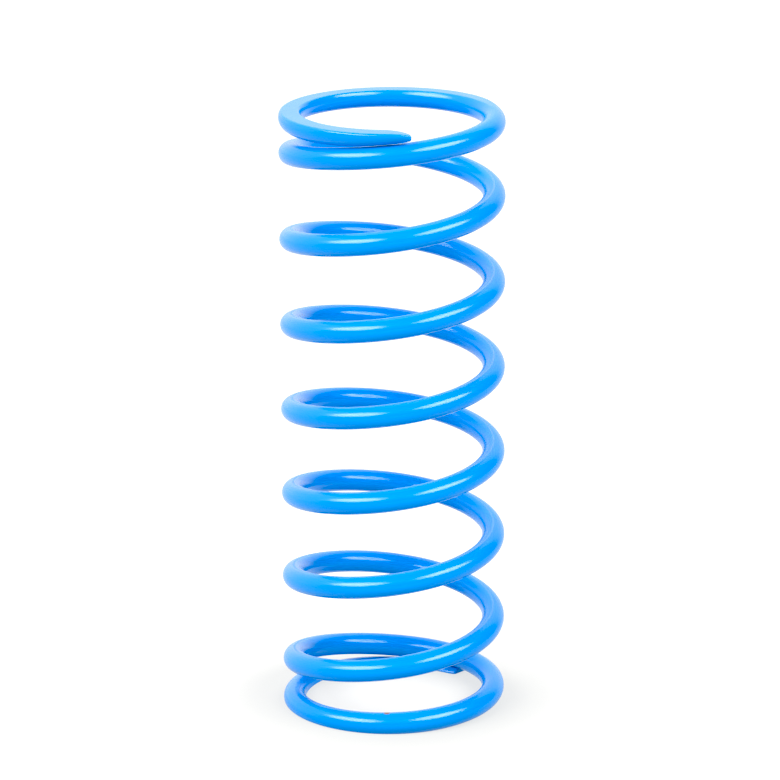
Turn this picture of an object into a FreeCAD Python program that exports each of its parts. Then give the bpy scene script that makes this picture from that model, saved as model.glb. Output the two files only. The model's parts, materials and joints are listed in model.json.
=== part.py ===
import FreeCAD, Part
import Sketcher
import math
import os

# A helical compression spring with closed, ground ends, wound right-handed from one round wire.
# Millimetres. The spring's axis is +Z and its lower ground face lies on Z = 0.
# The wire is cut by planes through the axis into a lower end coil, an upper end coil and
# equal arcs between them, so that each arc can sink by its share when the spring shortens.

DIMENSIONS = {
    "wire_diameter": 7.5,
    "inside_diameter": 60.0,
    "free_length": 205.0,
    "total_turns": 8.645,
    "lower_tip_azimuth": 47.5,
    "lower_tip_thickness": 2.05,
    "upper_tip_thickness": 3.48,
    "touching_gap": 0.06,
    "lower_closed_turns": 1.02,
    "lower_opening_turns": 0.23,
    "widened_pitch": 3.8,
    "widened_half_turns": 0.36,
    "upper_closed_pitch": 0.72,
    "upper_closed_turns": 0.39,
    "upper_opening_turns": 0.98,
    "upper_climb_pitch": 20.0,
    "upper_climb_turns": 0.196,
    "upper_climb_blend": 0.16,
    "lower_end_turns": 1.37,
    "arcs_per_turn": 6.0,
    "arc_count": 35.0,
}

document = FreeCAD.newDocument("CoilSpring")


def make_sheet():
    """The driving dimensions, one named cell each."""
    sheet = document.addObject("Spreadsheet::Sheet", "Dimensions")
    for row, (alias, number) in enumerate(DIMENSIONS.items(), start=1):
        sheet.set(f"A{row}", alias.replace("_", " "))
        sheet.set(f"B{row}", str(number))
        sheet.setAlias(f"B{row}", alias)
    document.recompute()
    return sheet


sheet = make_sheet()
wire_radius = sheet.wire_diameter / 2
mean_radius = (sheet.inside_diameter + sheet.wire_diameter) / 2
arc_turns = 1 / sheet.arcs_per_turn
arc_total = round(sheet.arc_count)
lower_closed_pitch = sheet.wire_diameter + sheet.touching_gap
lower_tip_height = sheet.lower_tip_thickness - wire_radius
upper_tip_height = sheet.free_length - sheet.upper_tip_thickness + wire_radius


def smoothstep_area(share):
    """Area under 3t^2 - 2t^3 from 0 to share; the step stays at 1 past share 1."""
    if share <= 0:
        return 0.0
    if share >= 1:
        return share - 0.5
    return share**3 - share**4 / 2


def bump_area(place):
    """Area under (1 - t^2)^2 from -1 to place."""
    t = max(-1.0, min(1.0, place))
    return t - 2 * t**3 / 3 + t**5 / 5 + 8 / 15


def closed_part(turns, closed, opening):
    """How much of the first turns is still closed, when the end opens smoothly after closed turns."""
    return turns - opening * smoothstep_area((turns - closed) / opening)


def lower_closed(turns):
    return closed_part(turns, sheet.lower_closed_turns, sheet.lower_opening_turns)


def upper_closed(turns):
    return closed_part(turns, sheet.upper_closed_turns, sheet.upper_opening_turns)


def widening(turns):
    """Extra rise where the coil above the closed lower end is wound a little wider."""
    centre = sheet.lower_closed_turns + sheet.lower_opening_turns
    half = sheet.widened_half_turns
    return sheet.widened_pitch * half * bump_area((turns - centre) / half)


def climbing(turns):
    """Extra rise near the upper tip, where the wire climbs beside the coil that it lies on."""
    start = sheet.total_turns - sheet.upper_climb_turns
    blend = sheet.upper_climb_blend
    return sheet.upper_climb_pitch * blend * smoothstep_area((turns - start) / blend)


def find_active_pitch():
    """The pitch of the open coils that makes the whole wire rise from one tip to the other."""
    turns = sheet.total_turns
    low = lower_closed(turns)
    high = upper_closed(turns)
    closed_rise = lower_closed_pitch * low + sheet.upper_closed_pitch * high
    extra_rise = widening(turns) + climbing(turns)
    open_rise = upper_tip_height - lower_tip_height - closed_rise - extra_rise
    return open_rise / (turns - low - high)


active_pitch = find_active_pitch()


def wire_height(turns):
    """Height of the wire's centre after that many turns from the lower tip."""
    total = sheet.total_turns
    upper_part = upper_closed(total) - upper_closed(total - turns)
    rise = active_pitch * turns + widening(turns) + climbing(turns)
    rise -= (active_pitch - lower_closed_pitch) * lower_closed(turns)
    rise -= (active_pitch - sheet.upper_closed_pitch) * upper_part
    return lower_tip_height + rise


def azimuth(turns):
    """Degrees round the axis, counter-clockwise seen from above."""
    return sheet.lower_tip_azimuth + 360 * turns


def wire_centre(turns):
    angle = math.radians(azimuth(turns))
    return FreeCAD.Vector(
        mean_radius * math.cos(angle), mean_radius * math.sin(angle), wire_height(turns)
    )


def level_direction(turns):
    angle = math.radians(azimuth(turns))
    return FreeCAD.Vector(-math.sin(angle), math.cos(angle), 0)


def wire_advance(turns):
    """How far the wire's centre moves for each turn, in the direction that it points there."""
    step = 0.001
    rise = (wire_height(turns + step) - wire_height(turns - step)) / (2 * step)
    return level_direction(turns) * (2 * math.pi * mean_radius) + FreeCAD.Vector(0, 0, rise)


def check_turns_clear():
    """Each turn has to pass above the one below it without touching."""
    steps = 400
    for step in range(steps):
        turns = (sheet.total_turns - 1) * step / (steps - 1)
        rise = wire_height(turns + 1) - wire_height(turns)
        if rise < sheet.wire_diameter + sheet.touching_gap / 2:
            raise ValueError(f"turns touch {turns:.2f} turns up: they are {rise:.3f} mm apart")


def make_spine(first, last):
    points_per_turn = 36
    steps = math.ceil((last - first) * points_per_turn)
    places = [first + (last - first) * step / steps for step in range(steps + 1)]
    spine = Part.BSplineCurve()
    spine.interpolate(
        Points=[wire_centre(place) for place in places],
        Parameters=places,
        InitialTangent=wire_advance(first),
        FinalTangent=wire_advance(last),
        Scale=False,
    )
    return Part.Wire(spine.toShape())


def make_wire_sweep(name, first, last, ground_side):
    """A length of wire whose pitch changes: its round section stays in planes through the axis."""
    up = FreeCAD.Vector(0, 0, 1)
    section = Part.Circle(FreeCAD.Vector(), up, wire_radius).toShape()
    # The seam lies on the ground side, so that grinding takes it away.
    section.Placement = FreeCAD.Placement(
        wire_centre(first),
        FreeCAD.Rotation(up * ground_side, FreeCAD.Vector(), level_direction(first), "ZXY"),
    )
    sweep = Part.BRepOffsetAPI.MakePipeShell(make_spine(first, last))
    sweep.setBiNormalMode(up)
    sweep.add(Part.Wire(section))
    sweep.build()
    sweep.makeSolid()
    wire = document.addObject("Part::Feature", name)
    wire.Shape = sweep.shape()
    return wire


def make_grinding_block(name, base_height):
    """The space that the grinding wheel clears beyond a ground face."""
    block = document.addObject("Part::Box", name)
    width = "2 * (Dimensions.inside_diameter + 2 * Dimensions.wire_diameter)"
    block.setExpression("Length", width)
    block.setExpression("Width", width)
    block.setExpression("Height", "2 * Dimensions.wire_diameter")
    block.setExpression(".Placement.Base.x", f"-({width}) / 2")
    block.setExpression(".Placement.Base.y", f"-({width}) / 2")
    block.setExpression(".Placement.Base.z", base_height)
    return block


def make_end_coil(label, first, last, ground_side, block_height):
    """An end coil: the closed turn and the start of the open one, ground flat on the outside."""
    end_coil = document.addObject("Part::Cut", label)
    end_coil.Base = make_wire_sweep(f"{label}_wire", first, last, ground_side)
    end_coil.Tool = make_grinding_block(f"{label}_grinding", block_height)
    end_coil.Label = label
    return end_coil


def origin_plane(body, role):
    return next(plane for plane in body.Origin.OriginFeatures if plane.Role == role)


def make_section(body):
    """The wire's round section, on the body's own plane through the axis."""
    sketch = body.newObject("Sketcher::SketchObject", f"{body.Name}_section")
    sketch.AttachmentSupport = [(origin_plane(body, "XZ_Plane"), "")]
    sketch.MapMode = "FlatFace"
    centre = FreeCAD.Vector(mean_radius, 0, 0)
    sketch.addGeometry(Part.Circle(centre, FreeCAD.Vector(0, 0, 1), wire_radius), False)
    diameter = sketch.addConstraint(Sketcher.Constraint("Diameter", 0, sheet.wire_diameter))
    reach = sketch.addConstraint(Sketcher.Constraint("DistanceX", -1, 1, 0, 3, mean_radius))
    sketch.addConstraint(Sketcher.Constraint("PointOnObject", 0, 3, -1))
    sketch.setExpression(f"Constraints[{diameter}]", "Dimensions.wire_diameter")
    sketch.setExpression(
        f"Constraints[{reach}]", "(Dimensions.inside_diameter + Dimensions.wire_diameter) / 2"
    )
    return sketch


def make_arc(label, first, last):
    """One arc of the open coils: a helix of even pitch between two planes through the axis."""
    body = document.addObject("PartDesign::Body", label)
    section = make_section(body)
    document.recompute()
    rise = wire_height(last) - wire_height(first)
    helix = body.newObject("PartDesign::AdditiveHelix", f"{label}_helix")
    helix.Profile = section
    helix.ReferenceAxis = (section, ["V_Axis"])
    helix.Mode = "pitch-height-angle"
    helix.Pitch = rise / (last - first)
    helix.Height = rise
    helix.LeftHanded = False
    body.Placement = FreeCAD.Placement(
        FreeCAD.Vector(0, 0, wire_height(first)),
        FreeCAD.Rotation(FreeCAD.Vector(0, 0, 1), azimuth(first)),
    )
    body.Label = label
    return body


def arc_name(index):
    turn, place = divmod(index, round(sheet.arcs_per_turn))
    return f"turn_{turn + 1}_arc_{place + 1}"


def make_open_coils():
    """All arcs from the lower end coil up; the middle one is two halves, where the chain is open."""
    middle = arc_total // 2
    arcs = []
    for index in range(arc_total):
        first = sheet.lower_end_turns + index * arc_turns
        last = first + arc_turns
        if index == middle:
            centre = first + arc_turns / 2
            arcs.append(make_arc(f"{arc_name(index)}_lower_half", first, centre))
            arcs.append(make_arc(f"{arc_name(index)}_upper_half", centre, last))
        else:
            arcs.append(make_arc(arc_name(index), first, last))
    return arcs


def make_spring():
    arcs_end = sheet.lower_end_turns + arc_total * arc_turns
    lower = make_end_coil(
        "lower_end_coil", 0, sheet.lower_end_turns, -1, "-2 * Dimensions.wire_diameter"
    )
    upper = make_end_coil(
        "upper_end_coil", arcs_end, sheet.total_turns, 1, "Dimensions.free_length"
    )
    return [lower, *make_open_coils(), upper]


def check_objects(parts):
    for item in document.Objects:
        if "Invalid" in item.State or "Error" in item.State:
            raise ValueError(f"{item.Label} failed: {item.State}")
    for part in parts:
        if part.Shape.isNull() or not part.Shape.isValid() or len(part.Shape.Solids) != 1:
            raise ValueError(f"{part.Label} isn't one valid solid")


def write_parts(parts):
    os.makedirs("parts", exist_ok=True)
    for part in parts:
        part.Shape.exportStep(os.path.join("parts", f"{part.Label}.step"))


check_turns_clear()
spring_parts = make_spring()
document.recompute()
check_objects(spring_parts)
write_parts(spring_parts)
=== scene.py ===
import json
import math

import bpy
import numpy as np
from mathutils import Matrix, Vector

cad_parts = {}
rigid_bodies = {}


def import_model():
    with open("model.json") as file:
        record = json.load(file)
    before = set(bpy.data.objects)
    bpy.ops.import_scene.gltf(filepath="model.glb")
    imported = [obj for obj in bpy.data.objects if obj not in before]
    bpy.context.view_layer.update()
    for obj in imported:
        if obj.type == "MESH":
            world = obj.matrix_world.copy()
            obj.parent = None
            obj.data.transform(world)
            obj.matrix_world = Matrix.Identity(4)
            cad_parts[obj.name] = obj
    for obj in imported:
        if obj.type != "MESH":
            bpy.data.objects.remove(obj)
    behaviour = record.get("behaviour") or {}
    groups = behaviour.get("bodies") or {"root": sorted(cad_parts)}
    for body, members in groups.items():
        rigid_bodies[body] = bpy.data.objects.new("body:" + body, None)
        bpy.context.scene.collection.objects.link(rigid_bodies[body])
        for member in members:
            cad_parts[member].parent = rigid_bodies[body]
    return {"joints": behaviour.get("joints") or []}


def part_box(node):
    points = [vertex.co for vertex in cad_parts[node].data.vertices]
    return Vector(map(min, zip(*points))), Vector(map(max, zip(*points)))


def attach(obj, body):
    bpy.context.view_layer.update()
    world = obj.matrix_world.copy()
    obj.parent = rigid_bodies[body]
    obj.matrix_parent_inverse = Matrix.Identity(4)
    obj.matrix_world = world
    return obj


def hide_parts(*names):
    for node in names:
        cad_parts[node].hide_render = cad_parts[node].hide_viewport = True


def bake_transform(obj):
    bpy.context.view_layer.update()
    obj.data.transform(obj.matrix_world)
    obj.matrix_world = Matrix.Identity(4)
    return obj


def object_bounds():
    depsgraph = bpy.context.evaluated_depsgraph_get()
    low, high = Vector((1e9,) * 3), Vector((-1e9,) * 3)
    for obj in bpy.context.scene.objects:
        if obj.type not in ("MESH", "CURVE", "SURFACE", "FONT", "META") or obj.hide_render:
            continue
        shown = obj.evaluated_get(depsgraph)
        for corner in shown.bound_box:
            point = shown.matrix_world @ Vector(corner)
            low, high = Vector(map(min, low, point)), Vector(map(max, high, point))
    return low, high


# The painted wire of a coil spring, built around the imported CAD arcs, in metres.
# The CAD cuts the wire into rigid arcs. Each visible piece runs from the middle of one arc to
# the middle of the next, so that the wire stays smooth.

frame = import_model()
cad_low, cad_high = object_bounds()

MM = 0.001

# Sizes that the frame gives.
FREE_LENGTH = cad_high.z - cad_low.z
WIRE_RADIUS = (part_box("turn_2_arc_1")[1].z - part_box("turn_2_arc_2")[0].z) / 2
MEAN_RADIUS = (cad_high.x - cad_low.x) / 2 - WIRE_RADIUS

# How the wire winds between the two ground faces; the same rule as the CAD model's.
TOTAL_TURNS = 8.645
TIP_AZIMUTH = math.radians(47.5)
LOWER_TIP_THICKNESS = 2.05 * MM
UPPER_TIP_THICKNESS = 3.48 * MM
TOUCHING_GAP = 0.06 * MM
LOWER_CLOSED_TURNS = 1.02
LOWER_OPENING_TURNS = 0.23
WIDENED_PITCH = 3.8 * MM
WIDENED_HALF_TURNS = 0.36
UPPER_CLOSED_PITCH = 0.72 * MM
UPPER_CLOSED_TURNS = 0.39
UPPER_OPENING_TURNS = 0.98
UPPER_CLIMB_PITCH = 20 * MM
UPPER_CLIMB_TURNS = 0.196
UPPER_CLIMB_BLEND = 0.16
LOWER_END_TURNS = 1.37
ARCS_PER_TURN = 6

# Derived winding values.
LOWER_CLOSED_PITCH = 2 * WIRE_RADIUS + TOUCHING_GAP
LOWER_TIP_HEIGHT = LOWER_TIP_THICKNESS - WIRE_RADIUS
UPPER_TIP_HEIGHT = FREE_LENGTH - UPPER_TIP_THICKNESS + WIRE_RADIUS
ARC_TURNS = 1 / ARCS_PER_TURN

# Mesh density, and the small radius round the wire's end faces.
RINGS_PER_TURN = 144
ROUND_SEGMENTS = 48
TIP_EDGE_RADIUS = 0.45 * MM
TIP_EDGE_RINGS = 6
NOSE_RINGS = 24

# How the points of half a ground section are shared out: round side, rounded edge and flat.
SIDE_POINTS = 21
EDGE_POINTS = 7
FLAT_POINTS = 6
NARROWEST_EDGE = math.radians(8)
NARROWEST_FLAT = math.radians(12)

# The shape of each end coil: the radius along its ground edges, and how its last few
# millimetres narrow towards the outer side, thin towards the ground face and drop away from it.
LOWER_END = {
    "is_lower": True,
    "tip": 0.0,
    "edge_radius": 0.4 * MM,
    "nose_length": 4 * MM,
    "narrowing": 0.2,
    "thinning": 0.0,
    "drop": 0.0,
}
UPPER_END = {
    "is_lower": False,
    "tip": TOTAL_TURNS,
    "edge_radius": 0.9 * MM,
    "nose_length": 9 * MM,
    "narrowing": 0.85,
    "thinning": 0.35,
    "drop": 0.7 * MM,
}


# ---------------------------------------------------------------- winding


def smoothstep_area(share):
    """Area under 3t^2 - 2t^3 from 0 to share; the step stays at 1 past share 1."""
    t = np.clip(share, 0, 1)
    return np.where(share > 1, share - 0.5, t**3 - t**4 / 2)


def bump_area(place):
    """Area under (1 - t^2)^2 from -1 to place."""
    t = np.clip(place, -1, 1)
    return t - 2 * t**3 / 3 + t**5 / 5 + 8 / 15


def closed_part(turns, closed, opening):
    """How much of the first turns is still closed, when the end opens smoothly after them."""
    return turns - opening * smoothstep_area((turns - closed) / opening)


def lower_closed(turns):
    return closed_part(turns, LOWER_CLOSED_TURNS, LOWER_OPENING_TURNS)


def upper_closed(turns):
    return closed_part(turns, UPPER_CLOSED_TURNS, UPPER_OPENING_TURNS)


def widening(turns):
    """Extra rise where the coil above the closed lower end is wound a little wider."""
    centre = LOWER_CLOSED_TURNS + LOWER_OPENING_TURNS
    place = (turns - centre) / WIDENED_HALF_TURNS
    return WIDENED_PITCH * WIDENED_HALF_TURNS * bump_area(place)


def climbing(turns):
    """Extra rise near the upper tip, where the wire climbs beside the coil that it lies on."""
    place = (turns - TOTAL_TURNS + UPPER_CLIMB_TURNS) / UPPER_CLIMB_BLEND
    return UPPER_CLIMB_PITCH * UPPER_CLIMB_BLEND * smoothstep_area(place)


def find_active_pitch():
    """The pitch of the open coils that makes the whole wire rise from one tip to the other."""
    low = lower_closed(TOTAL_TURNS)
    high = upper_closed(TOTAL_TURNS)
    closed_rise = LOWER_CLOSED_PITCH * low + UPPER_CLOSED_PITCH * high
    extra_rise = widening(TOTAL_TURNS) + climbing(TOTAL_TURNS)
    open_rise = UPPER_TIP_HEIGHT - LOWER_TIP_HEIGHT - closed_rise - extra_rise
    return open_rise / (TOTAL_TURNS - low - high)


ACTIVE_PITCH = find_active_pitch()


def wire_height(turns):
    """Height of the wire's centre after that many turns from the lower tip."""
    upper_part = upper_closed(TOTAL_TURNS) - upper_closed(TOTAL_TURNS - turns)
    rise = ACTIVE_PITCH * turns + widening(turns) + climbing(turns)
    rise = rise - (ACTIVE_PITCH - LOWER_CLOSED_PITCH) * lower_closed(turns)
    rise = rise - (ACTIVE_PITCH - UPPER_CLOSED_PITCH) * upper_part
    return LOWER_TIP_HEIGHT + rise


def azimuth(turns):
    """Radians round the axis, counter-clockwise seen from above."""
    return TIP_AZIMUTH + 2 * math.pi * turns


# ---------------------------------------------------------------- wire sections


def round_section():
    """Points and outward normals of the wire's round section, as (outward, up) pairs."""
    angle = np.linspace(0, 2 * math.pi, ROUND_SEGMENTS, endpoint=False)
    normals = np.stack([np.cos(angle), np.sin(angle)], 1)
    return WIRE_RADIUS * normals, normals


def ground_half(cut, edge):
    """Right half of a round section ground flat at height cut above its centre, bottom to top."""
    radius = WIRE_RADIUS
    eye = min(0.0, (cut - radius) / 2)
    reach = math.sqrt(max(0.0, (radius - edge) ** 2 - (cut - edge) ** 2))
    is_ground = cut < radius
    to_round = math.pi / 2
    to_flat = math.pi / 2
    if is_ground:
        grow = radius / (radius - edge)
        to_round = math.atan2((cut - edge) * grow - eye, reach * grow)
        to_flat = math.atan2(cut - eye, reach)
    flat_start = min(to_flat, math.pi / 2 - NARROWEST_FLAT)
    edge_start = min(to_round, flat_start - NARROWEST_EDGE)
    angles = np.concatenate(
        [
            np.linspace(-math.pi / 2, edge_start, SIDE_POINTS),
            np.linspace(edge_start, flat_start, EDGE_POINTS)[1:],
            np.linspace(flat_start, math.pi / 2, FLAT_POINTS)[1:],
        ]
    )
    points = []
    normals = []
    for angle in angles:
        ray = np.array([math.cos(angle), math.sin(angle)])
        hit = -eye * ray[1] + math.sqrt(radius**2 - (eye * ray[0]) ** 2)
        normal = (np.array([0, eye]) + hit * ray) / radius
        if is_ground and angle >= to_flat:
            hit = (cut - eye) / ray[1]
            normal = np.array([0.0, 1.0])
        elif is_ground and angle > to_round:
            to_corner = np.array([reach, cut - edge - eye])
            along = ray @ to_corner
            hit = along + math.sqrt(max(0.0, edge**2 - (to_corner @ to_corner - along**2)))
            normal = (hit * ray - to_corner) / edge
        points.append(np.array([0, eye]) + hit * ray)
        normals.append(normal)
    return np.array(points), np.array(normals)


def ground_section(cut, edge):
    """A whole section ground flat on top at height cut above its centre, with rounded edges."""
    points, normals = ground_half(cut, edge)
    mirror = np.array([-1, 1])
    left_points = points[-2:0:-1] * mirror
    left_normals = normals[-2:0:-1] * mirror
    return np.concatenate([points, left_points]), np.concatenate([normals, left_normals])


def shape_nose(points, normals, nose, flat):
    """Draws a section in towards its outer side and its flat, and insets it evenly."""
    out = WIRE_RADIUS - (WIRE_RADIUS - points[:, 0]) * nose["width"]
    up = flat - (flat - points[:, 1]) * nose["thickness"]
    return np.stack([out, up], 1) - normals * nose["inset"]


# ---------------------------------------------------------------- wire meshes


def place_rings(turns, sections):
    """Sections set up in planes through the axis: rings x points x 3."""
    angle = azimuth(turns)[:, None]
    out = MEAN_RADIUS + sections[:, :, 0]
    height = wire_height(turns)[:, None] + sections[:, :, 1]
    return np.stack([out * np.cos(angle), out * np.sin(angle), height], 2)


def ring_normals(turns, sections, section_normals):
    """Outward normals of the swept surface, from its slope along the wire and round it."""
    step = 1e-4
    slope = (wire_height(turns + step) - wire_height(turns - step)) / (2 * step)
    out = MEAN_RADIUS + sections[:, :, 0]
    normal_out = section_normals[:, :, 0]
    normal_up = section_normals[:, :, 1]
    nearly_level = 0.9999
    is_flat = np.abs(normal_up) > nearly_level
    lean = np.where(is_flat, 0.0, -normal_up * slope[:, None] / (2 * math.pi * out))
    angle = azimuth(turns)[:, None]
    x = normal_out * np.cos(angle) - lean * np.sin(angle)
    y = normal_out * np.sin(angle) + lean * np.cos(angle)
    normals = np.stack([x, y, normal_up], 2)
    return normals / np.linalg.norm(normals, axis=2)[:, :, None]


def build_wire(name, rings, normals, material):
    """A closed tube from rings of points, with smooth sides, flat end caps and its own normals."""
    ring_total, size = rings.shape[:2]
    first = np.arange(ring_total - 1)[:, None] * size + np.arange(size)[None, :]
    after = np.arange(ring_total - 1)[:, None] * size + (np.arange(size)[None, :] + 1) % size
    quads = np.stack([first, first + size, after + size, after], 2).reshape(-1, 4)
    caps = [list(range(size)), list(range(ring_total * size - 1, (ring_total - 1) * size - 1, -1))]
    mesh = bpy.data.meshes.new(name)
    mesh.from_pydata(rings.reshape(-1, 3).tolist(), [], quads.tolist() + caps)
    mesh.materials.append(material)
    smooth = [True] * len(quads) + [False, False]
    mesh.polygons.foreach_set("use_smooth", smooth)
    mesh.update()
    corner_normals = normals.reshape(-1, 3)[quads.reshape(-1)].tolist()
    for cap in mesh.polygons[len(quads):]:
        corner_normals.extend([tuple(cap.normal)] * cap.loop_total)
    mesh.normals_split_custom_set(corner_normals)
    piece = bpy.data.objects.new(name, mesh)
    bpy.context.scene.collection.objects.link(piece)
    return piece


def build_round_length(name, first, last, material):
    """A round length of wire between two places along it."""
    steps = round((last - first) * RINGS_PER_TURN)
    turns = np.linspace(first, last, steps + 1)
    points, section_normals = round_section()
    sections = np.repeat(points[None], len(turns), 0)
    section_normals = np.repeat(section_normals[None], len(turns), 0)
    rings = place_rings(turns, sections)
    return build_wire(name, rings, ring_normals(turns, sections, section_normals), material)


def grid_normals(rings, outward):
    """Surface normals of a grid of rings, turned to the side that outward points to."""
    along = np.gradient(rings, axis=0)
    across = np.roll(rings, -1, 1) - np.roll(rings, 1, 1)
    normals = np.cross(along, across)
    side = np.sign(np.sum(normals * outward, axis=2, keepdims=True))
    return normals * side / np.linalg.norm(normals, axis=2, keepdims=True)


def end_stations(end, joint):
    """Distances from the tip, from the joint down to 0, with the inset and the turns at each."""
    turn_length = 2 * math.pi * MEAN_RADIUS
    length = abs(joint - end["tip"]) * turn_length
    step = turn_length / RINGS_PER_TURN
    plain = np.arange(length + step, end["nose_length"], -step)
    tapered = np.linspace(end["nose_length"], TIP_EDGE_RADIUS, NOSE_RINGS)
    bend = np.linspace(0, math.pi / 2, TIP_EDGE_RINGS)
    rounded = TIP_EDGE_RADIUS * (1 - np.sin(bend))
    inset = TIP_EDGE_RADIUS * (1 - np.cos(bend))
    from_tip = np.concatenate([plain, tapered[:-1], rounded])
    insets = np.concatenate([np.zeros(len(from_tip) - len(inset)), inset])
    return from_tip, insets, from_tip / turn_length


def end_section(end, turns, from_tip, inset):
    """The wire's section on an end coil: ground flat, and rounded off close to the tip."""
    height = float(wire_height(turns))
    nearness = max(0.0, 1 - from_tip / end["nose_length"])
    rounding = 1 - math.sqrt(1 - nearness**2)
    cut = height if end["is_lower"] else FREE_LENGTH - height
    cut -= end["drop"] * nearness**3
    points, normals = ground_section(cut, end["edge_radius"])
    nose = {
        "width": 1 - end["narrowing"] * rounding,
        "thickness": 1 - end["thinning"] * rounding,
        "inset": inset,
    }
    points = shape_nose(points, normals, nose, cut)
    if end["is_lower"]:
        flip = np.array([1, -1])
        return points[::-1] * flip, normals[::-1] * flip
    return points, normals


def build_end_length(name, end, joint, material):
    """A closed, ground end coil from its joint to its tip."""
    from_tip, insets, turns_from_tip = end_stations(end, joint)
    sign = 1 if end["is_lower"] else -1
    turns = end["tip"] + sign * turns_from_tip
    shaped = [end_section(end, *station) for station in zip(turns, from_tip, insets)]
    sections = np.array([points for points, normals in shaped])
    section_normals = np.array([normals for points, normals in shaped])
    rings = place_rings(turns, sections)
    normals = grid_normals(rings, ring_normals(turns, sections, section_normals))
    # The first ring lies past the joint and serves only the normals of the second.
    rings = rings[1:]
    normals = normals[1:]
    if end["is_lower"]:
        rings = rings[::-1]
        normals = normals[::-1]
    return build_wire(name, rings, normals, material)


# ---------------------------------------------------------------- materials


def new_material(name):
    material = bpy.data.materials.new(name)
    material.use_nodes = True
    tree = material.node_tree
    return material, tree, tree.nodes["Principled BSDF"]


def noise_at(tree, scale, detail):
    """Smooth random values from 0 to 1 all over an object."""
    place = tree.nodes.new("ShaderNodeTexCoord")
    noise = tree.nodes.new("ShaderNodeTexNoise")
    noise.inputs["Scale"].default_value = scale
    noise.inputs["Detail"].default_value = detail
    tree.links.new(place.outputs["Object"], noise.inputs["Vector"])
    return noise.outputs["Fac"]


def map_range(tree, value, low, high):
    """A value between 0 and 1 spread over another range."""
    spread = tree.nodes.new("ShaderNodeMapRange")
    spread.inputs["To Min"].default_value = low
    spread.inputs["To Max"].default_value = high
    tree.links.new(value, spread.inputs["Value"])
    return spread.outputs["Result"]


def spot_mask(tree, centre, radius):
    """1 within a small round spot of the surface, fading to 0 at its edge."""
    place = tree.nodes.new("ShaderNodeTexCoord")
    distance = tree.nodes.new("ShaderNodeVectorMath")
    distance.operation = "DISTANCE"
    distance.inputs[1].default_value = centre
    tree.links.new(place.outputs["Object"], distance.inputs[0])
    fade = tree.nodes.new("ShaderNodeMapRange")
    fade.interpolation_type = "SMOOTHSTEP"
    fade.inputs["From Min"].default_value = radius
    fade.inputs["From Max"].default_value = radius / 2
    tree.links.new(distance.outputs["Value"], fade.inputs["Value"])
    return fade.outputs["Result"]


def add_spot(tree, colour, spot_colour, centre, radius):
    """Covers a colour with another one at a small spot, and returns the result."""
    mix = tree.nodes.new("ShaderNodeMix")
    mix.data_type = "RGBA"
    mix.inputs["B"].default_value = spot_colour
    tree.links.new(spot_mask(tree, centre, radius), mix.inputs["Factor"])
    tree.links.new(colour, mix.inputs["A"])
    return mix.outputs["Result"]


def near_wire(turns, out, height):
    """A point beside the wire's centre line, out from it and at a height above the floor."""
    angle = azimuth(turns)
    reach = MEAN_RADIUS + out
    return Vector((reach * math.cos(angle), reach * math.sin(angle), height))


def coat_colour(tree):
    """Even blue with a faint change of tone, and two pinhead spots of rust on the lowest turn."""
    deep_blue = (0.0, 0.178, 0.59, 1.0)
    light_blue = (0.0, 0.192, 0.63, 1.0)
    rust = (0.16, 0.07, 0.045, 1.0)
    tone = tree.nodes.new("ShaderNodeMix")
    tone.data_type = "RGBA"
    tone.inputs["A"].default_value = deep_blue
    tone.inputs["B"].default_value = light_blue
    tree.links.new(noise_at(tree, scale=40.0, detail=2.0), tone.inputs["Factor"])
    edge_chip = near_wire(turns=0.607, out=-0.2 * MM, height=6.6 * MM)
    tip_chip = near_wire(turns=0.003, out=-3.1 * MM, height=0.8 * MM)
    colour = add_spot(tree, tone.outputs["Result"], rust, edge_chip, radius=1.5 * MM)
    return add_spot(tree, colour, rust, tip_chip, radius=0.6 * MM)


def make_blue_coat():
    """Glossy blue powder coat with faint orange peel and slight changes of gloss."""
    material, tree, shader = new_material("blue_powder_coat")
    tree.links.new(coat_colour(tree), shader.inputs["Base Color"])
    gloss = map_range(tree, noise_at(tree, scale=90.0, detail=3.0), low=0.21, high=0.27)
    tree.links.new(gloss, shader.inputs["Roughness"])
    bump = tree.nodes.new("ShaderNodeBump")
    bump.inputs["Strength"].default_value = 0.12
    bump.inputs["Distance"].default_value = 0.05 * MM
    tree.links.new(noise_at(tree, scale=900.0, detail=1.0), bump.inputs["Height"])
    tree.links.new(bump.outputs["Normal"], shader.inputs["Normal"])
    return material


# ---------------------------------------------------------------- assembly


def chain_from(body):
    """Bodies in order away from an end coil, following the joints between neighbouring arcs."""
    bodies = [body]
    while True:
        following = [
            joint["child"]
            for joint in frame["joints"]
            if joint["parent"] == bodies[-1] and joint["name"] != "compression"
        ]
        if not following:
            return bodies
        bodies.extend(following)


def bend_between(piece):
    """Bakes the piece's placement into its mesh."""
    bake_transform(piece)


def make_end(body, end, joint, material):
    """An end coil of painted wire, from the middle of its nearest arc, that rides on its body."""
    piece = build_end_length(f"painted_{body}", end, joint, material)
    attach(piece, body)
    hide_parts(body)


def make_bending_length(replaced, place, material):
    """The wire from the middle of one arc to the middle of the next one up."""
    piece = build_round_length(f"painted_{replaced}", place, place + ARC_TURNS, material)
    bend_between(piece)
    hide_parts(replaced)


def make_spring(material):
    """All painted lengths, from the lower tip to the upper one."""
    lower_chain = chain_from("lower_end_coil")
    upper_chain = chain_from("upper_end_coil")
    lower_links = list(zip(lower_chain, lower_chain[1:]))
    upper_links = list(zip(upper_chain[1:], upper_chain))[::-1]
    place = LOWER_END_TURNS - ARC_TURNS / 2
    make_end("lower_end_coil", LOWER_END, place, material)
    for body_below, body_above in lower_links + upper_links:
        replaced = body_above if body_above in lower_chain else body_below
        make_bending_length(replaced, place, material)
        place += ARC_TURNS
    make_end("upper_end_coil", UPPER_END, place, material)


# ---------------------------------------------------------------- studio


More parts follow.
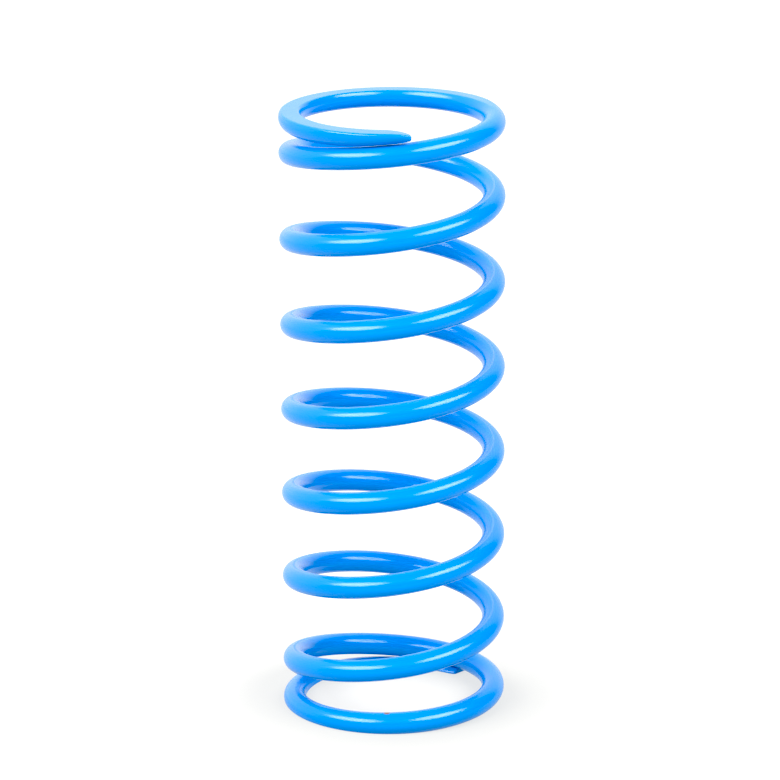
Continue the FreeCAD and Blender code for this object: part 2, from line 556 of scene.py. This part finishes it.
def glow_between(tree, distance, start, end, first, last):
    """Emission strength that changes smoothly from first to last between two distances."""
    glow = tree.nodes.new("ShaderNodeMapRange")
    glow.interpolation_type = "SMOOTHSTEP"
    glow.inputs["From Min"].default_value = start
    glow.inputs["From Max"].default_value = end
    glow.inputs["To Min"].default_value = first
    glow.inputs["To Max"].default_value = last
    tree.links.new(distance, glow.inputs["Value"])
    return glow.outputs["Result"]


def glow_with_painted_shadow(tree):
    """Emission strength of the light table, with a painted contact shadow: least under the lowest
    turn, a little lower inside the ring, and full far away.
    """
    place = tree.nodes.new("ShaderNodeNewGeometry")
    length = tree.nodes.new("ShaderNodeVectorMath")
    length.operation = "LENGTH"
    tree.links.new(place.outputs["Position"], length.inputs[0])
    distance = length.outputs["Value"]
    # The glow dims to this least strength at the lowest turn as a painted contact shadow, and
    # stays a little lower inside the ring as painted shade.
    least = 0.7
    radius = MEAN_RADIUS
    inside = glow_between(tree, distance, 0.3 * radius, 0.95 * radius, first=0.86, last=least)
    outside = glow_between(tree, distance, 0.9 * radius, 2.8 * radius, first=least, last=1.0)
    brighter = tree.nodes.new("ShaderNodeMath")
    brighter.operation = "MAXIMUM"
    tree.links.new(inside, brighter.inputs[0])
    tree.links.new(outside, brighter.inputs[1])
    return brighter.outputs["Value"]


def make_floor():
    """A white light table: it glows, so it stays white in the picture and shades only softly; its
    glow dims round the lowest turn as a painted contact shadow.
    """
    reach = 6.0
    corners = [(-reach, -reach, 0), (reach, -reach, 0), (reach, reach, 0), (-reach, reach, 0)]
    mesh = bpy.data.meshes.new("floor")
    mesh.from_pydata(corners, [], [(0, 1, 2, 3)])
    material, tree, shader = new_material("floor_white")
    shader.inputs["Base Color"].default_value = (0.12, 0.12, 0.11, 1.0)
    shader.inputs["Roughness"].default_value = 1.0
    shader.inputs["Specular IOR Level"].default_value = 0.0
    shader.inputs["Emission Color"].default_value = (1.0, 1.0, 1.0, 1.0)
    # The emission strength carries the painted contact shadow round the spring.
    tree.links.new(glow_with_painted_shadow(tree), shader.inputs["Emission Strength"])
    mesh.materials.append(material)
    floor = bpy.data.objects.new("floor", mesh)
    bpy.context.scene.collection.objects.link(floor)


def aim(item, target):
    """Turns a camera or a light to look at a point."""
    item.rotation_euler = (Vector(target) - item.location).to_track_quat("-Z", "Y").to_euler()


def around(azimuth_deg, elevation_deg, distance, centre):
    """A point round the spring; azimuth 0 is the camera's side and 90 is to its right."""
    a = math.radians(azimuth_deg)
    e = math.radians(elevation_deg)
    offset = Vector((math.sin(a) * math.cos(e), -math.cos(a) * math.cos(e), math.sin(e)))
    return centre + distance * offset


def make_softbox(name, azimuth_deg):
    """A wide oval softbox that faces the spring from above."""
    elevation_deg = 40
    distance = 3.0
    width = 2.9
    height = 1.5
    radiance = 12.0
    light = bpy.data.lights.new(name, "AREA")
    light.shape = "ELLIPSE"
    light.size = width
    light.size_y = height
    area = math.pi / 4 * width * height
    light.energy = radiance * math.pi * area
    item = bpy.data.objects.new(name, light)
    bpy.context.scene.collection.objects.link(item)
    centre = Vector((0, 0, FREE_LENGTH / 2))
    item.location = around(azimuth_deg, elevation_deg, distance, centre)
    aim(item, centre)


def make_world():
    """White behind and to the left of the spring and dim in front, like a light tent left open."""
    world = bpy.data.worlds.new("studio")
    bpy.context.scene.world = world
    world.use_nodes = True
    nodes = world.node_tree.nodes
    links = world.node_tree.links
    background = nodes["Background"]
    background.inputs["Color"].default_value = (1.0, 1.0, 1.0, 1.0)
    place = nodes.new("ShaderNodeTexCoord")
    towards_tent = nodes.new("ShaderNodeVectorMath")
    towards_tent.operation = "DOT_PRODUCT"
    towards_tent.inputs[1].default_value = (-0.45, 0.89, 0.0)
    links.new(place.outputs["Generated"], towards_tent.inputs[0])
    fade = nodes.new("ShaderNodeMapRange")
    fade.interpolation_type = "SMOOTHSTEP"
    fade.inputs["From Min"].default_value = 0.05
    fade.inputs["From Max"].default_value = 0.45
    fade.inputs["To Min"].default_value = 0.2
    fade.inputs["To Max"].default_value = 1.45
    links.new(towards_tent.outputs["Value"], fade.inputs["Value"])
    links.new(fade.outputs["Result"], background.inputs["Strength"])


def make_camera():
    data = bpy.data.cameras.new("camera")
    data.lens = 204.8
    data.sensor_width = 36.0
    data.shift_x = -0.0036
    data.shift_y = -0.0057
    camera = bpy.data.objects.new("camera", data)
    bpy.context.scene.collection.objects.link(camera)
    target = Vector((0, 0, 0.54 * FREE_LENGTH))
    camera.location = around(azimuth_deg=0, elevation_deg=15.77, distance=1.485, centre=target)
    aim(camera, target)
    roll_deg = -0.2
    camera.rotation_euler.rotate_axis("Z", math.radians(roll_deg))
    bpy.context.scene.camera = camera


def grade_picture():
    """Clips the faintest red away, for a blue as clean as in a catalogue picture."""
    view = bpy.context.scene.view_settings
    view.view_transform = "Standard"
    view.use_curve_mapping = True
    view.curve_mapping.black_level = (0.06, 0.015, 0.0)
    view.curve_mapping.update()


def make_studio():
    make_floor()
    make_world()
    make_softbox("softbox_left", azimuth_deg=-52)
    make_softbox("softbox_right", azimuth_deg=52)
    make_camera()
    grade_picture()


make_spring(make_blue_coat())
make_studio()
